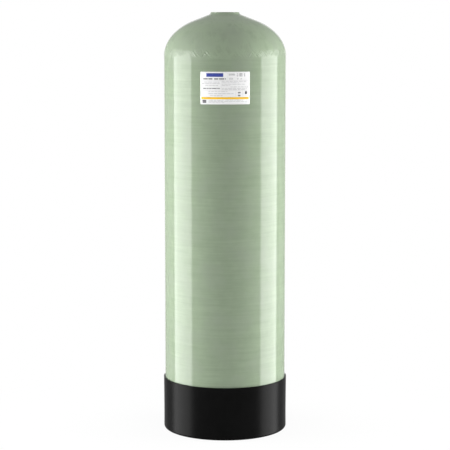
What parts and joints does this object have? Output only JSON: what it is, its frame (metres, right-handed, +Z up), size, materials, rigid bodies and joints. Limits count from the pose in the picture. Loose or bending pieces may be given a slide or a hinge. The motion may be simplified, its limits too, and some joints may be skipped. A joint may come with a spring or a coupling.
{
  "type": "filter tank",
  "caption": "Tall wound fibreglass water filter tank with domed ends, a threaded top neck, a plastic liner, a riser tube with a slotted distributor, a black boot and a plain label",
  "frame": {"origin": "centre of the boot's foot on the floor, which is the middle of the underside of the bounding box", "axes": "+Z up along the tank's axis to the neck; -Y towards the label; +X to the right of the label"},
  "size_m": [0.3446, 0.3444, 1.155],
  "materials": {
    "wound_fibreglass": "pale sage green gelcoat over fine hoop winding, glossy with slight waviness",
    "liner_plastic": "natural polyethylene, satin",
    "neck_plastic": "black moulded, satin, with a machined thread",
    "boot_plastic": "black moulded, satin with fine grain",
    "label_film": "white film with thin grey rules, grey bars and a yellow band, no words",
    "riser_plastic": "off-white extruded tube, satin",
    "distributor_plastic": "light grey moulded, satin"
  },
  "bodies": {
    "root": {"winding_shell": "wound_fibreglass", "inner_liner": "liner_plastic", "neck_insert": "neck_plastic", "base_boot": "boot_plastic", "rating_label": "label_film", "riser_tube": "riser_plastic", "distributor_head": "distributor_plastic", "distributor_screen": "distributor_plastic", "distributor_cap": "distributor_plastic"}
  },
  "joints": []
}
